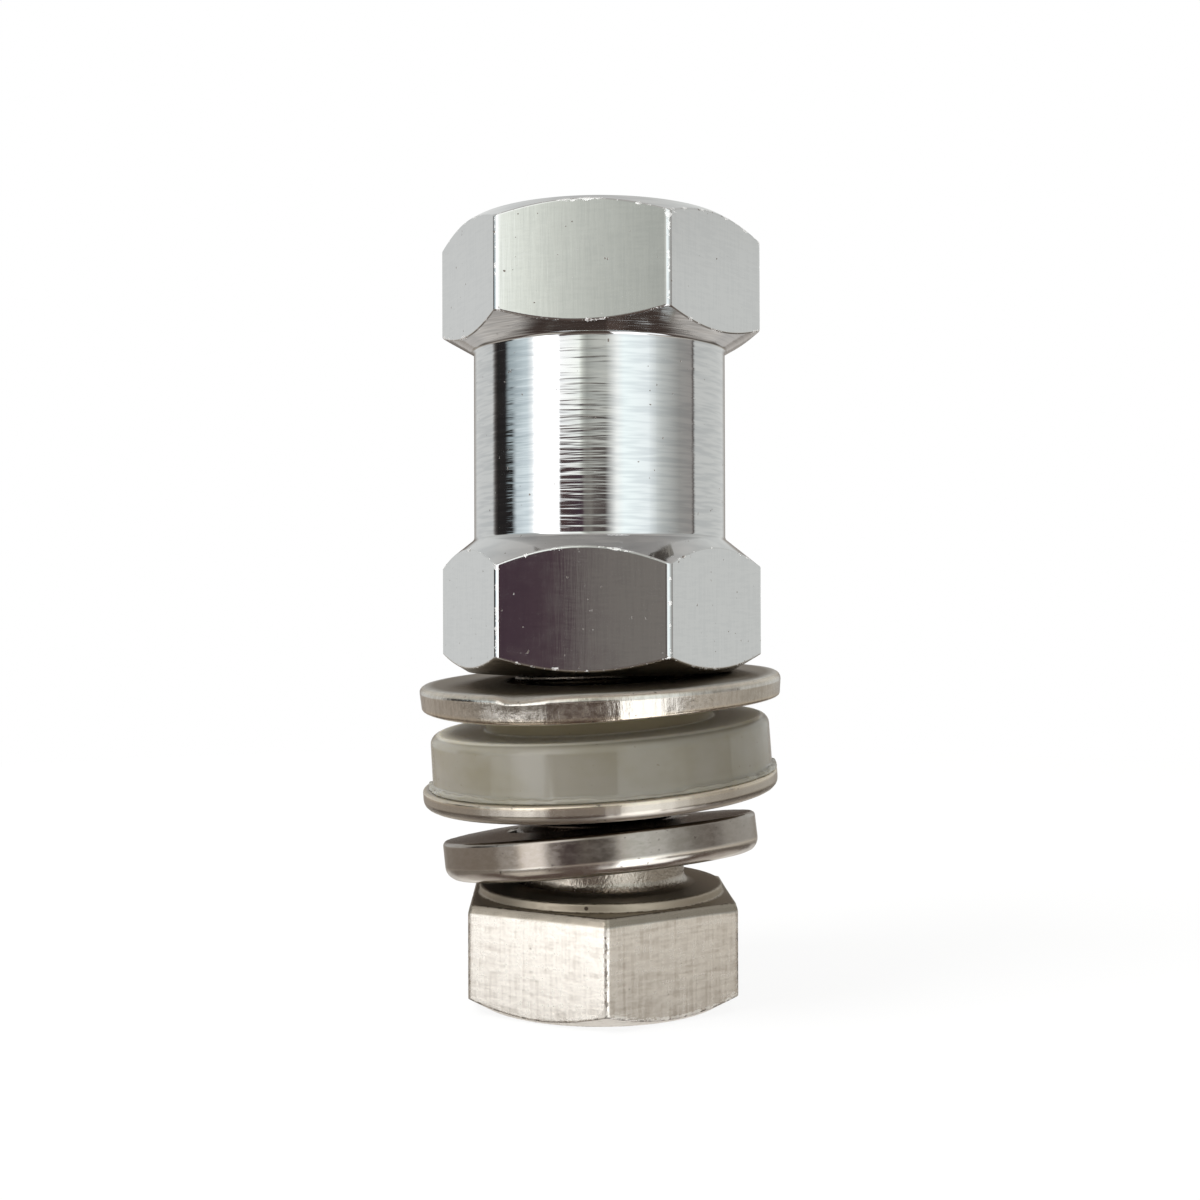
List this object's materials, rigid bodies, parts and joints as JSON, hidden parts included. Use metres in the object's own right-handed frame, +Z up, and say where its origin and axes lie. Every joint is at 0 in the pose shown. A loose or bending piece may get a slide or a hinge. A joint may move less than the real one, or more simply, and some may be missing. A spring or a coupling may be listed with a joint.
{
  "type": "antenna lug stud",
  "caption": "Upright stud fitting: hex bolt head down, split and flat washers, nylon shoulder washer, and a chromed double-hex coupling nut with an open top thread.",
  "frame": {"origin": "thread axis at the lower face of the bolt's head, on which the stud stands", "axes": "+Z up the thread axis to the open end of the coupling nut; a flat of the coupling nut faces -Y"},
  "size_m": [0.02, 0.02, 0.0424],
  "materials": {
    "bolt_steel": "fine brushed stainless",
    "spring_steel": "satin stainless",
    "washer_steel": "stamped stainless",
    "nylon": "moulded natural nylon, slightly translucent",
    "chrome_plate": "bright chrome on turned brass"
  },
  "bodies": {
    "bolt": {"hex_bolt": "bolt_steel"},
    "washer_stack": {"lock_washer": "spring_steel", "lower_washer": "washer_steel", "insulator": "nylon", "upper_washer": "washer_steel"},
    "coupler": {"coupling_nut": "chrome_plate"}
  },
  "joints": [
    {"name": "unscrew_turn", "type": "hinge", "parent": "bolt", "child": "washer_stack", "pos_m": [0, 0, 0.0178], "axis": [0, 0, 1], "range_deg": [0, 4320]},
    {"name": "unscrew_lift", "type": "slide", "parent": "washer_stack", "child": "coupler", "axis": [0, 0, 1], "range_m": [0, 0.01271]}
  ],
  "couplings": [
    {"joint": "unscrew_lift", "follows": "unscrew_turn", "m_per_rad": 0.00016843}
  ]
}
